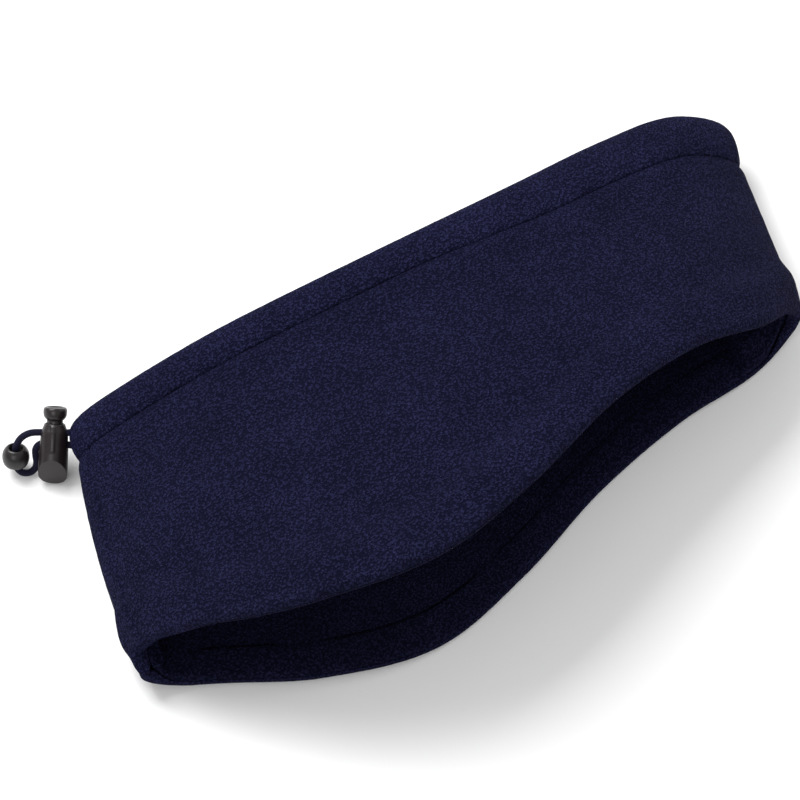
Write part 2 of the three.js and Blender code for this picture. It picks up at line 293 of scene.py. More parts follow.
def panel_waves(turn, down, depth):
    """Soft swells that run along the upper panel, from its crease to its rim, as shares."""
    upper = smooth_step(np.sin(2 * np.pi * turn), 0.05, 0.6)
    start = seam_down(turn)
    late = 10 * np.sin(2 * np.pi * (turn - 0.06))
    rise = smooth_step(down, 36 + late / 2, 60 + late)
    fall = smooth_step(down, 60 + late, 88 + late)
    dip = smooth_step(down, start + 4, start + 16) * 0.5
    drift = 0.22 * np.sin(14 * np.pi * turn + down / 17) + 0.18 * np.sin(23 * np.pi * turn - down / 11)
    return upper * (rise - fall - dip + drift * smooth_step(down, start, start + 12))


def hem_swell(down, depth):
    """The thicker hem inside the rim: a slow rise, a ridge and a fall to the edge."""
    rise = smooth_step(down, depth - 26, depth - 15)
    return HEM_SWELL * rise - HEM_FALL * smooth_step(down, depth - 15, depth - RIM_ROUND)


def pile_heights(points, size, seed):
    """Uneven height of the fleece pile at points, from -1 to 1, with clumps of about the given size."""
    shift = Vector((seed * 7.3, seed * 3.1, seed * 5.7))
    fine = 1 / size
    coarse = 1 / (size * 3.1)
    return np.array([
        0.65 * noise.noise(Vector(p) * fine + shift) + 0.35 * noise.noise(Vector(p) * coarse - shift)
        for p in points])


# Mesh building

def bent_grid(name, across, along, place, wrap_along):
    """A grid of quads bent into a ring or tube, with a UV map; place(u, v) gives millimetres."""
    bm = bmesh.new()
    bm.loops.layers.uv.new("UVMap")
    bmesh.ops.create_grid(bm, x_segments=across, y_segments=along, size=0.5, calc_uvs=True)
    mesh = bpy.data.meshes.new(name)
    bm.to_mesh(mesh)
    bm.free()
    flat = np.empty(len(mesh.vertices) * 3, np.float32)
    mesh.vertices.foreach_get("co", flat)
    spots = flat.reshape(-1, 3).astype(float) + 0.5
    points = place(spots[:, 0], spots[:, 1]) * MM
    points[:, 2] = np.maximum(points[:, 2], 0.0)
    mesh.vertices.foreach_set("co", points.astype(np.float32).ravel())
    bm = bmesh.new()
    bm.from_mesh(mesh)
    bmesh.ops.remove_doubles(bm, verts=bm.verts, dist=2e-6)
    if not wrap_along:
        open_edges = [edge for edge in bm.edges if edge.is_boundary]
        bmesh.ops.holes_fill(bm, edges=open_edges, sides=0)
    bmesh.ops.recalc_face_normals(bm, faces=bm.faces)
    return finish_mesh(name, bm, mesh)


def rim_seam(turn):
    """Where the outside layer ends on the round of the rim: far inside, or on its edge at the back."""
    edge = smooth_step(turn, 0.045, 0.09) * (1 - smooth_step(turn, 0.22, 0.28))
    lower = smooth_step(turn, 0.54, 0.58) * (1 - smooth_step(turn, 0.94, 0.98))
    return math.pi * (0.90 - 0.40 * edge - 0.24 * lower)


def hemmed_profile(u, start, depth, reach, side, face_out):
    """Rows of one layer: its face, its part of the round rim, and back along the middle of the wall."""
    rim = depth - RIM_ROUND
    face = np.clip(u / 0.80, 0, 1)
    bend = np.clip((u - 0.80) / 0.12, 0, 1)
    back = np.clip((u - 0.94) / 0.05, 0, 1)
    lid = np.clip((u - 0.99) / 0.01, 0, 1)
    face_down = mix(start, rim, face)
    proud = face_out(face_down)
    at_rim = face_out(rim)
    half = at_rim - side * RIM_MIDDLE
    angle = bend * (reach - 0.05)
    share = np.where(u > 0.92, mix(1.0, 0.36, np.clip((u - 0.92) / 0.02, 0, 1)), 1.0)
    round_down = rim + RIM_ROUND * np.sin(angle) * share
    round_out = side * RIM_MIDDLE + half * np.cos(angle) * share
    low = LAYER_GAP / 2
    down = np.where(u <= 0.80, face_down, round_down)
    out = np.where(u <= 0.80, proud, round_out)
    down = np.where(u > 0.94, mix(rim - 1.5, start, back), down)
    out = np.where(u > 0.94, low, out)
    out = np.where(u > 0.99, mix(low, face_out(start), lid), out)
    return down, side * out


def flat_cut(start_at, end_at):
    """The width and length in metres of the cloth between two depths round the loop, and its area."""
    turn = np.broadcast_to(np.linspace(0, 1, 721), (41, 721))
    start = start_at(turn)
    down = start + (end_at(turn) - start) * np.linspace(0, 1, 41)[:, None]
    points = middle_at(turn, down) * MM
    along = np.diff(points, axis=1)
    across = np.diff(points, axis=0)
    area = np.linalg.norm(np.cross(across[:, :-1], along[:-1]), axis=-1).sum()
    width = np.linalg.norm(across, axis=-1).sum(axis=0).max()
    length = np.linalg.norm(along, axis=-1).sum(axis=1).max()
    return (float(width), float(length)), float(area)


def declare_cloth(start_at, end_at):
    """Work out the width, length and area of the cloth a layer was cut from; nothing is done with them."""
    (width, length), area = flat_cut(start_at, end_at)


def shown_share(u, down, start):
    """Where a layer's pile shows: its face and its rim, not the side that lies in the wall."""
    return np.where(u <= 0.92, smooth_step(down, start, start + 1.2), 0.0)


def pile_points(turn, down, out, pile, seed, shown):
    """Points of a layer with its pile raised away from the middle of the wall."""
    points = band_points(turn, down, out)
    seen = shown > 0
    lift = np.zeros(len(turn))
    lift[seen] = pile_heights(points[seen], PILE_SIZE, seed)
    return band_points(turn, down, out + np.sign(out) * pile * lift * shown)


def finish_mesh(name, bm, mesh=None):
    """Put a bmesh in a smooth-shaded object at the origin."""
    mesh = mesh or bpy.data.meshes.new(name)
    for face in bm.faces:
        face.smooth = True
    bm.to_mesh(mesh)
    bm.free()
    made = bpy.data.objects.new(name, mesh)
    bpy.context.scene.collection.objects.link(made)
    return made


def hand_over(piece, body, slot, *nodes):
    """Say what a piece rides on and hide the solids it stands for; slot, the finish it takes, is not used."""
    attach(piece, body)
    if nodes:
        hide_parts(*nodes)


def seat_matrix(place, turn):
    """The place of a small part that leans off the vertical towards a heading, in degrees."""
    lean, heading = (math.radians(angle) for angle in turn)
    turned = Matrix.Rotation(-heading, 4, "Z") @ Matrix.Rotation(-lean, 4, "X")
    return Matrix.Translation(place) @ turned


def spun_shape(profile, steps, closed):
    """A bmesh of [radius, height] pairs in millimetres spun once about the Z axis."""
    bm = bmesh.new()
    verts = [bm.verts.new((radius, 0.0, height)) for radius, height in profile]
    for start, end in zip(verts, verts[1:]):
        bm.edges.new((start, end))
    if closed:
        bm.edges.new((verts[-1], verts[0]))
    bmesh.ops.spin(bm, geom=bm.verts[:] + bm.edges[:], cent=(0, 0, 0), axis=(0, 0, 1),
                   angle=2 * math.pi, steps=steps, use_merge=True, use_duplicate=False)
    bmesh.ops.remove_doubles(bm, verts=bm.verts, dist=1e-4)
    bmesh.ops.recalc_face_normals(bm, faces=bm.faces)
    return bm


def rounded(profile, cut, steps=4):
    """A profile with each inner corner eased by a small arc."""
    eased = [profile[0]]
    for before, here, after in zip(profile, profile[1:], profile[2:]):
        corner = Vector(here)
        start = Vector(before) - corner
        end = Vector(after) - corner
        reach = min(cut, start.length / 2.2, end.length / 2.2)
        start = corner + start.normalized() * reach
        end = corner + end.normalized() * reach
        for i in range(steps + 1):
            share = i / steps
            point = start.lerp(corner, share).lerp(corner.lerp(end, share), share)
            eased.append((point.x, point.y))
    eased.append(profile[-1])
    return eased


def cut_with(piece, cutter):
    """Cut one mesh out of another for good."""
    modifier = piece.modifiers.new("Cut", "BOOLEAN")
    modifier.operation = "DIFFERENCE"
    modifier.solver = "EXACT"
    modifier.object = cutter
    bpy.context.view_layer.update()
    evaluated = piece.evaluated_get(bpy.context.evaluated_depsgraph_get())
    result = bpy.data.meshes.new_from_object(evaluated)
    piece.modifiers.clear()
    old = piece.data
    piece.data = result
    bpy.data.meshes.remove(old)
    bpy.data.objects.remove(cutter)


def route_line(points, spacing):
    """A smooth line through points, evenly spaced, as the solids' route runs."""
    knots = np.array(points, float)
    knots = np.vstack([2 * knots[0] - knots[1], knots, 2 * knots[-1] - knots[-2]])
    line = []
    for i in range(1, len(knots) - 2):
        p0, p1, p2, p3 = knots[i - 1:i + 3]
        t0 = 0.0
        t1 = t0 + np.linalg.norm(p1 - p0) ** 0.5
        t2 = t1 + np.linalg.norm(p2 - p1) ** 0.5
        t3 = t2 + np.linalg.norm(p3 - p2) ** 0.5
        for t in np.linspace(t1, t2, 24, endpoint=False):
            a1 = (t1 - t) / (t1 - t0) * p0 + (t - t0) / (t1 - t0) * p1
            a2 = (t2 - t) / (t2 - t1) * p1 + (t - t1) / (t2 - t1) * p2
            a3 = (t3 - t) / (t3 - t2) * p2 + (t - t2) / (t3 - t2) * p3
            b1 = (t2 - t) / (t2 - t0) * a1 + (t - t0) / (t2 - t0) * a2
            b2 = (t3 - t) / (t3 - t1) * a2 + (t - t1) / (t3 - t1) * a3
            line.append((t2 - t) / (t2 - t1) * b1 + (t - t1) / (t2 - t1) * b2)
    line.append(knots[-2])
    line = np.array(line)
    run = np.r_[0, np.cumsum(np.linalg.norm(np.diff(line, axis=0), axis=1))]
    spots = np.linspace(0, run[-1], int(round(run[-1] / spacing)) + 1)
    return np.stack([np.interp(spots, run, line[:, k]) for k in range(3)], 1)


def tube_frames(line):
    """Two side directions that don't twist along a line."""
    tangents = np.gradient(line, axis=0)
    tangents /= np.linalg.norm(tangents, axis=1, keepdims=True)
    side = np.cross(tangents[0], (0.0, 0.0, 1.0))
    sides = []
    for tangent in tangents:
        side = side - tangent * (side @ tangent)
        side = side / np.linalg.norm(side)
        sides.append(side)
    sides = np.array(sides)
    return sides, np.cross(tangents, sides)


def tube_along(name, line, radius_at, around):
    """A closed tube along a line; radius_at(share round, millimetres along) gives its radius."""
    run = np.r_[0, np.cumsum(np.linalg.norm(np.diff(line, axis=0), axis=1))]
    sides, ups = tube_frames(line)

    def place(u, v):
        row = np.rint(v * (len(line) - 1)).astype(int)
        angle = 2 * np.pi * u
        radius = radius_at(u, run[row])
        ring = np.cos(angle)[:, None] * sides[row] + np.sin(angle)[:, None] * ups[row]
        return line[row] + ring * radius[:, None]

    return bent_grid(name, around, len(line) - 1, place, wrap_along=False)


# Materials

def new_group(name, inputs, outputs):
    """A shader node group with named sockets, and its input and output nodes."""
    group = bpy.data.node_groups.new(name, "ShaderNodeTree")
    for label, kind, default in inputs:
        socket = group.interface.new_socket(name=label, in_out="INPUT", socket_type=kind)
        if default is not None:
            socket.default_value = default
    for label, kind in outputs:
        group.interface.new_socket(name=label, in_out="OUTPUT", socket_type=kind)
    entry = group.nodes.new("NodeGroupInput")
    leave = group.nodes.new("NodeGroupOutput")
    return group, entry, leave


def math_node(tree, operation, first, second):
    node = tree.nodes.new("ShaderNodeMath")
    node.operation = operation
    for socket, value in zip(node.inputs, (first, second)):
        if isinstance(value, bpy.types.NodeSocket):
            tree.links.new(value, socket)
        else:
            socket.default_value = value
    return node.outputs[0]


def noise_value(tree, vector, scale, detail, roughness=0.5):
    node = tree.nodes.new("ShaderNodeTexNoise")
    node.inputs["Scale"].default_value = scale
    node.inputs["Detail"].default_value = detail
    node.inputs["Roughness"].default_value = roughness
    tree.links.new(vector, node.inputs["Vector"])
    return node.outputs["Fac"]


def spread_value(tree, value, low, high, to_low=0.0, to_high=1.0):
    node = tree.nodes.new("ShaderNodeMapRange")
    node.inputs["From Min"].default_value = low
    node.inputs["From Max"].default_value = high
    node.inputs["To Min"].default_value = to_low
    node.inputs["To Max"].default_value = to_high
    tree.links.new(value, node.inputs["Value"])
    return node.outputs["Result"]


def mixed_color(tree, share, first, second):
    node = tree.nodes.new("ShaderNodeMix")
    node.data_type = "RGBA"
    if isinstance(share, bpy.types.NodeSocket):
        tree.links.new(share, node.inputs["Factor"])
    else:
        node.inputs["Factor"].default_value = share
    for socket, value in ((node.inputs[6], first), (node.inputs[7], second)):
        if isinstance(value, bpy.types.NodeSocket):
            tree.links.new(value, socket)
        else:
            socket.default_value = value
    return node.outputs[2]


def fleece_group():
    """Clumped pile of brushed fleece: its colour, with painted highlight on the tops of the clumps and painted
    shade in the gaps, a random broad change of tone, and its height.
    """
    group, entry, leave = new_group(
        "Fleece pile",
        [("Vector", "NodeSocketVector", None),
         ("Base", "NodeSocketColor", (0.02, 0.02, 0.06, 1)),
         ("Tips", "NodeSocketColor", (0.06, 0.06, 0.15, 1)),
         ("Clump Scale", "NodeSocketFloat", 900.0)],
        [("Color", "NodeSocketColor"), ("Height", "NodeSocketFloat")])
    vector = entry.outputs["Vector"]
    clumps = group.nodes.new("ShaderNodeTexVoronoi")
    clumps.feature = "SMOOTH_F1"
    clumps.inputs["Smoothness"].default_value = 0.6
    group.links.new(entry.outputs["Clump Scale"], clumps.inputs["Scale"])
    bent = group.nodes.new("ShaderNodeVectorMath")
    bent.operation = "MULTIPLY_ADD"
    wobble = group.nodes.new("ShaderNodeTexNoise")
    wobble.inputs["Scale"].default_value = 1400.0
    wobble.inputs["Detail"].default_value = 2.0
    group.links.new(vector, wobble.inputs["Vector"])
    group.links.new(wobble.outputs["Color"], bent.inputs[0])
    bent.inputs[1].default_value = (0.0009, 0.0009, 0.0009)
    group.links.new(vector, bent.inputs[2])
    group.links.new(bent.outputs[0], clumps.inputs["Vector"])
    tops = spread_value(group, clumps.outputs["Distance"], 0.62, 0.12)
    fibres = noise_value(group, bent.outputs[0], 3800.0, 3.0, 0.65)
    broad = noise_value(group, vector, 55.0, 2.0, 0.5)
    height = math_node(group, "ADD", math_node(group, "MULTIPLY", tops, 0.7),
                       math_node(group, "MULTIPLY", fibres, 0.3))
    # Painted highlight and painted shade: the clumps' tops lean towards the tip colour, the gaps between them
    # stay at the darker base; the sparse share adds random lighter fibres.
    lit = spread_value(group, height, 0.18, 0.68)
    sparse = spread_value(group, noise_value(group, vector, 1500.0, 1.0), 0.66, 0.78)
    highlight_and_fleck_share = math_node(group, "ADD", math_node(group, "MULTIPLY", lit, 0.88),
                     math_node(group, "MULTIPLY", sparse, 0.06))
    shade = spread_value(group, broad, 0.3, 0.7, 0.86, 1.12)
    color = mixed_color(group, highlight_and_fleck_share, entry.outputs["Base"], entry.outputs["Tips"])
    scaled = group.nodes.new("ShaderNodeVectorMath")
    scaled.operation = "SCALE"
    group.links.new(color, scaled.inputs[0])
    group.links.new(shade, scaled.inputs["Scale"])
    group.links.new(scaled.outputs[0], leave.inputs["Color"])
    group.links.new(height, leave.inputs["Height"])
    return group


def plastic_group():
    """Moulded plastic: a faint mottle, rubbed high spots and a fine satin grain."""
    group, entry, leave = new_group(
        "Moulded plastic",
        [("Vector", "NodeSocketVector", None),
         ("Base", "NodeSocketColor", (0.04, 0.03, 0.03, 1)),
         ("Grain Scale", "NodeSocketFloat", 4000.0),
         ("Gloss", "NodeSocketFloat", 0.3)],
        [("Color", "NodeSocketColor"), ("Roughness", "NodeSocketFloat"), ("Height", "NodeSocketFloat")])
    vector = entry.outputs["Vector"]
    cloud = noise_value(group, vector, 260.0, 3.0, 0.55)
    grain = group.nodes.new("ShaderNodeTexNoise")
    grain.inputs["Detail"].default_value = 2.0
    group.links.new(vector, grain.inputs["Vector"])
    group.links.new(entry.outputs["Grain Scale"], grain.inputs["Scale"])
    lighter = mixed_color(group, 0.5, entry.outputs["Base"], (0.040, 0.030, 0.031, 1))
    color = mixed_color(group, spread_value(group, cloud, 0.42, 0.75, 0.0, 0.35),
                        entry.outputs["Base"], lighter)
    scuffs = spread_value(group, noise_value(group, vector, 900.0, 4.0, 0.7), 0.55, 0.75, 0.0, 0.12)
    rough = math_node(group, "ADD", entry.outputs["Gloss"], scuffs)
    rough = math_node(group, "ADD", rough, spread_value(group, cloud, 0.35, 0.7, 0.0, 0.08))
    group.links.new(color, leave.inputs["Color"])
    group.links.new(rough, leave.inputs["Roughness"])
    group.links.new(grain.outputs["Fac"], leave.inputs["Height"])
    return group


def braid_group():
    """Round braid of fine yarns, from a UV map with the turn and the length of the cord."""
    group, entry, leave = new_group(
        "Cord braid",
        [("Vector", "NodeSocketVector", None),
         ("Base", "NodeSocketColor", (0.01, 0.01, 0.03, 1)),
         ("Yarns", "NodeSocketFloat", 8.0),
         ("Pitches", "NodeSocketFloat", 60.0)],
        [("Color", "NodeSocketColor"), ("Height", "NodeSocketFloat")])
    parts = group.nodes.new("ShaderNodeSeparateXYZ")
    group.links.new(entry.outputs["Vector"], parts.inputs[0])
    around = math_node(group, "MULTIPLY", parts.outputs["X"], entry.outputs["Yarns"])
    along = math_node(group, "MULTIPLY", parts.outputs["Y"], entry.outputs["Pitches"])
    waves = []
    for operation in ("ADD", "SUBTRACT"):
        lane = math_node(group, operation, around, along)
        wave = math_node(group, "SINE", math_node(group, "MULTIPLY", lane, 2 * math.pi), 0.0)
        waves.append(math_node(group, "ABSOLUTE", wave, 0.0))
    weave = math_node(group, "MAXIMUM", waves[0], waves[1])
    height = spread_value(group, weave, 0.55, 1.0)
    # Painted shade and painted highlight: the braid's grooves are darkened towards black and its crests
    # lightened, following the weave's height.
    groove_shade = mixed_color(group, 0.75, entry.outputs["Base"], (0.0, 0.0, 0.001, 1))
    crest_highlight = mixed_color(group, 0.2, entry.outputs["Base"], (0.03, 0.03, 0.09, 1))
    group.links.new(mixed_color(group, height, groove_shade, crest_highlight), leave.inputs["Color"])
    group.links.new(height, leave.inputs["Height"])
    return group


def shared_group(name, build):
    return bpy.data.node_groups.get(name) or build()


def new_material(name, group_name, build_group, vector_output, values, shader_values, bump):
    """A material with one shared group, a Principled shader and a bump."""
    material = bpy.data.materials.new(name)
    material.use_nodes = True
    tree = material.node_tree
    shader = tree.nodes["Principled BSDF"]
    for key, value in shader_values.items():
        shader.inputs[key].default_value = value
    where = tree.nodes.new("ShaderNodeTexCoord")
    group = tree.nodes.new("ShaderNodeGroup")
    group.node_tree = shared_group(group_name, build_group)
    for key, value in values.items():
        group.inputs[key].default_value = value
    tree.links.new(where.outputs[vector_output], group.inputs["Vector"])
    tree.links.new(group.outputs["Color"], shader.inputs["Base Color"])
    if "Roughness" in group.outputs.keys():
        tree.links.new(group.outputs["Roughness"], shader.inputs["Roughness"])
    strength, distance = bump
    relief = tree.nodes.new("ShaderNodeBump")
    relief.inputs["Strength"].default_value = strength
    relief.inputs["Distance"].default_value = distance
    tree.links.new(group.outputs["Height"], relief.inputs["Height"])
    tree.links.new(relief.outputs["Normal"], shader.inputs["Normal"])
    return material


def fleece_material(name, settings, shade):
    # shade makes lit and shaded copies of the fleece: below 1 it paints shade into a darker copy, above 1 it
    # paints light into a lighter one.
    base = [channel * shade for channel in settings.fleece_color] + [1]
    tips = [channel * shade for channel in settings.tip_highlight_color] + [1]
    return new_material(
        name, "Fleece pile", fleece_group, "Object",
        {"Base": base, "Tips": tips, "Clump Scale": 1120.0},
        {"Roughness": 0.95, "Specular IOR Level": 0.03, "Sheen Weight": 0.015, "Sheen Roughness": 0.4,
         "Sheen Tint": (0.28, 0.30, 0.90, 1)},
        (1.0, 0.0020))


def plastic_material(name, color, gloss):
    return new_material(
        name, "Moulded plastic", plastic_group, "Object",
        {"Base": list(color) + [1], "Grain Scale": 5200.0, "Gloss": gloss},
        {"IOR": 1.45, "Specular IOR Level": 0.42, "Coat Weight": 0.05,
         "Coat Roughness": 0.35},
        (0.12, 0.00005))


def cord_material(name, color, vector_output, pitches):
    return new_material(
        name, "Cord braid", braid_group, vector_output,
        {"Base": list(color) + [1], "Yarns": 4.0, "Pitches": pitches},
        {"Roughness": 0.8, "Specular IOR Level": 0.15, "Sheen Weight": 0.05, "Sheen Roughness": 0.5,
         "Sheen Tint": (0.4, 0.42, 0.8, 1)},
        (0.7, 0.00018))


# Operators

class HEADBAND_OT_stage(bpy.types.Operator):
    """Lay a pale floor and set soft studio lights and the camera"""

    bl_idname = "headband.stage"
    bl_label = "Stage"

    def execute(self, context):
        bm = bmesh.new()
        bmesh.ops.create_grid(bm, x_segments=1, y_segments=1, size=6.0)
        floor = finish_mesh("floor", bm)
        paper = bpy.data.materials.new("pale floor")
        paper.use_nodes = True
        shader = paper.node_tree.nodes["Principled BSDF"]
        shader.inputs["Base Color"].default_value = (0.95, 0.95, 0.95, 1)
        shader.inputs["Roughness"].default_value = 0.9
        floor.data.materials.append(paper)

        world = bpy.data.worlds.new("studio")
        world.use_nodes = True
        world.node_tree.nodes["Background"].inputs["Color"].default_value = (1, 1, 1, 1)
        world.node_tree.nodes["Background"].inputs["Strength"].default_value = 0.55
        context.scene.world = world
        context.scene.view_settings.view_transform = "Standard"

        target = Vector((0.0, 0.0, 0.03))
        for name, place, size, power in (
            ("top softbox", (-0.25, 1.05, 1.35), 1.0, 34.0),
            ("camera softbox", (-1.1, -0.7, 1.2), 0.8, 6.0),
            ("right strip", (1.3, -0.1, 0.8), 0.5, 4.0),
        ):
            lamp = bpy.data.lights.new(name, "AREA")
            lamp.shape = "SQUARE"
            lamp.size = size
            lamp.energy = power
            light = bpy.data.objects.new(name, lamp)
            light.location = place
            light.rotation_euler = (target - Vector(place)).to_track_quat("-Z", "Y").to_euler()
            context.scene.collection.objects.link(light)

        lens = bpy.data.cameras.new("photo camera")
        lens.sensor_width = 36.0
        lens.lens = 184.3
        lens.clip_end = 20.0
        camera = bpy.data.objects.new("photo camera", lens)
        azimuth = math.radians(-30.5)
        elevation = math.radians(60.0)
        aim = Vector((-0.0201, 0.011585, 0.030))
        back = Vector((math.sin(azimuth) * math.cos(elevation), -math.cos(azimuth) * math.cos(elevation),
                       math.sin(elevation)))
        camera.location = aim + back * 1.5
        camera.rotation_euler = (-back).to_track_quat("-Z", "Y").to_euler()
        context.scene.collection.objects.link(camera)
        context.scene.camera = camera
        return {"FINISHED"}


class HEADBAND_OT_cord(bpy.types.Operator):
    """Run the free cord from the channel through the lock and the bead and back"""

    bl_idname = "headband.cord"
    bl_label = "Free cord"

    def execute(self, context):
        settings = context.scene.headband_cord
        radius = settings.cord_diameter / MM / 2
        line = route_line(LOOP_ROUTE, 0.3)

        def radius_at(share, run):
            left = np.abs(np.sin(2 * np.pi * (4 * share + run / BRAID_PITCH)))
            right = np.abs(np.sin(2 * np.pi * (4 * share - run / BRAID_PITCH)))
            return radius - BRAID_RELIEF + BRAID_RELIEF * np.maximum(left, right)

        loop = tube_along("drawcord_loop_braid", line, radius_at, 32)
        length = float(np.linalg.norm(np.diff(line, axis=0), axis=1).sum()) * MM
        loop.data.materials.append(
            cord_material("braided cord", settings.cord_color, "UV", length / MM / BRAID_PITCH))
        hand_over(loop, "band", "cord", "drawcord_loop")
        return {"FINISHED"}


class HEADBAND_OT_lock(bpy.types.Operator):
    """Make the cord lock's barrel and plunger"""

    bl_idname = "headband.lock"
    bl_label = "Cord lock"

    def execute(self, context):
        settings = context.scene.headband_cord
        matrix = Matrix.Scale(MM, 4) @ seat_matrix(LOCK_PLACE, LOCK_TURN)
        barrel = self.barrel()
        plunger = self.plunger()
        for piece, body, slot, node, gloss in (
            (barrel, "band", "lock_barrel", "cord_lock_barrel", 0.30),
            (plunger, "plunger", "lock_plunger", "cord_lock_plunger", 0.28),
        ):
            piece.data.transform(matrix)
            piece.data.update()
            piece.data.materials.clear()
            piece.data.materials.append(plastic_material(f"{slot} plastic", settings.lock_color, gloss))
            hand_over(piece, body, slot, node)
        return {"FINISHED"}

    def slot_cutter(self, name, width, floor, top):
        """A bar with round edges that cuts the cross hole."""
        bm = bmesh.new()
        bmesh.ops.create_cone(bm, cap_ends=True, segments=32, radius1=width / 2, radius2=width / 2, depth=24)
        bmesh.ops.rotate(bm, verts=bm.verts, cent=(0, 0, 0), matrix=Matrix.Rotation(math.pi / 2, 3, "Y"))
        for vert in bm.verts:
            vert.co.z += (top - width / 2) if vert.co.z > 1e-4 else (floor + width / 2)
        return finish_mesh(name, bm)

    def barrel(self):
        radius = 5.5
        profile = [
            (0, -17.4), (2.6, -17.25), (4.3, -16.35), (5.25, -14.7), (radius, -12.4), (5.45, -8), (5.35, -3),
            (5.22, 0.6), (4.95, 2.6), (4.25, 4.2), (3.9, 5.2), (3.85, 5.45), (3.6, 5.6), (3.4, 5.45), (3.3, 5.2),
            (3.3, -8.6), (3.0, -8.8), (0, -8.8),
        ]
        fine = []
        for start, end in zip(profile, profile[1:]):
            steps = max(1, int(math.dist(start, end) / 0.6))
            fine += [tuple(mix(np.array(start), np.array(end), i / steps)) for i in range(steps)]
        bm = spun_shape(rounded(fine + [profile[-1]], 0.25, 1), 112, closed=False)
        for vert in bm.verts:
            out = math.hypot(vert.co.x, vert.co.y)
            if out < 3.7 or vert.co.z > 5.3:
                continue
            off_axis = abs(vert.co.x)
            if vert.co.y < 0 and off_axis < 1.25 and -4.9 < vert.co.z:
                side = 1 - min(max((off_axis - 0.7) / 0.4, 0), 1)
                end = min(max((vert.co.z + 4.8) / 0.5, 0), 1)
                vert.co.y -= 0.32 * side * end
        slant = Vector((0, -5.5, -7.4))
        facing = Vector((0, -(17.4 - 7.4), -8.1)).normalized()
        cut = bmesh.ops.bisect_plane(bm, geom=bm.verts[:] + bm.edges[:] + bm.faces[:], dist=1e-5,
                                     plane_co=slant, plane_no=facing, clear_outer=True)
        rim = [item for item in cut["geom_cut"] if isinstance(item, bmesh.types.BMEdge)]
        bmesh.ops.holes_fill(bm, edges=rim, sides=0)
        bmesh.ops.remove_doubles(bm, verts=bm.verts, dist=0.02)
        lid = max(bm.faces, key=lambda face: len(face.verts))
        bmesh.ops.bevel(bm, geom=lid.edges[:], affect="EDGES", offset=0.28, offset_type="OFFSET", segments=3,
                        profile=0.5, material=-1, clamp_overlap=True)
        bmesh.ops.recalc_face_normals(bm, faces=bm.faces)
        barrel = finish_mesh("lock_barrel", bm)
        cut_with(barrel, self.slot_cutter("cross hole", 3.6, -4.6, 3.8))
        return barrel

    def plunger(self):
        profile = [
            (0, -6.3), (2.7, -6.3), (3.0, -6.0), (3.0, 6.9), (3.6, 7.4), (4.2, 8.3), (4.4, 9.4), (4.4, 10.7),
            (4.1, 11.4), (3.6, 11.7), (3.1, 11.55), (2.2, 11.15), (0, 11.0),
        ]
        bm = spun_shape(rounded(profile, 0.5, 5), 96, closed=False)
        plunger = finish_mesh("lock_plunger", bm)
        cut_with(plunger, self.slot_cutter("plunger hole", 3.6, -4.6, 5.0))
        return plunger


class HEADBAND_OT_bead(bpy.types.Operator):
    """Make the drilled bead at the end of the cord"""

    bl_idname = "headband.bead"
    bl_label = "Bead"

    def execute(self, context):
        settings = context.scene.headband_cord
        profile = [
            (2.6, 3.3), (2.5, -1.0), (3.4, -1.2), (3.4, -3.5), (3.7, -3.8), (4.1, -3.6), (4.6, -2.8),
            (5.0, -1.4), (5.1, 0), (4.9, 1.4), (4.3, 2.7), (3.6, 3.5), (3.0, 3.75), (2.6, 3.3),
        ]
        bm = spun_shape(rounded(profile, 0.6, 5), 96, closed=True)
        bead = finish_mesh("end_bead", bm)
        bead.data.transform(Matrix.Scale(MM, 4) @ seat_matrix(BEAD_PLACE, BEAD_TURN))
        bead.data.materials.append(plastic_material("bead plastic", settings.bead_color, 0.28))
        hand_over(bead, "band", "bead", "cord_end_bead")
        return {"FINISHED"}


class HEADBAND_OT_shell(bpy.types.Operator):
    """Make the outside layer of fleece, from the stitch line to the turned rim"""

    bl_idname = "headband.shell"
    bl_label = "Outer fleece"

    def execute(self, context):
        settings = context.scene.headband_band
        pile = settings.pile / MM
        waves = settings.waves / MM

        def outside(turn, down, depth):
            start = seam_down(turn) + PIECE_GAP / 2
            pinch = 0.85 * np.exp(-((down - start) / 2.2) ** 2)
            seam = 0.7 * np.exp(-((turn - SEAM_TURN) / 0.0032) ** 2)
            fold = (turn + 0.5) % 1.0 - 0.5
            crease = 1.5 * np.exp(-((fold + 0.012) / 0.006) ** 2) * smooth_step(down, depth - 16, depth - 4)
            return (WALL_HALF - pinch + hem_swell(down, depth) - seam - crease
                    + waves * panel_waves(turn, down, depth))

        def place(u, v):
            turn = v
            depth = edges_at(turn)[2]
            start = seam_down(turn) + PIECE_GAP / 2
            down, out = hemmed_profile(u, start, depth, rim_seam(turn), 1.0,
                                       lambda rows: outside(turn, rows, depth))
            return pile_points(turn, down, out, pile, 1.0, shown_share(u, down, start))

        shell = bent_grid("outer_fleece", 112, settings.sections, place, wrap_along=True)
        shell.data.materials.append(fleece_material("outer fleece pile", settings, 1.0))
        hand_over(shell, "band", "fleece_outer", "outer_shell")
        declare_cloth(seam_down, lambda turn: edges_at(turn)[2])
        return {"FINISHED"}


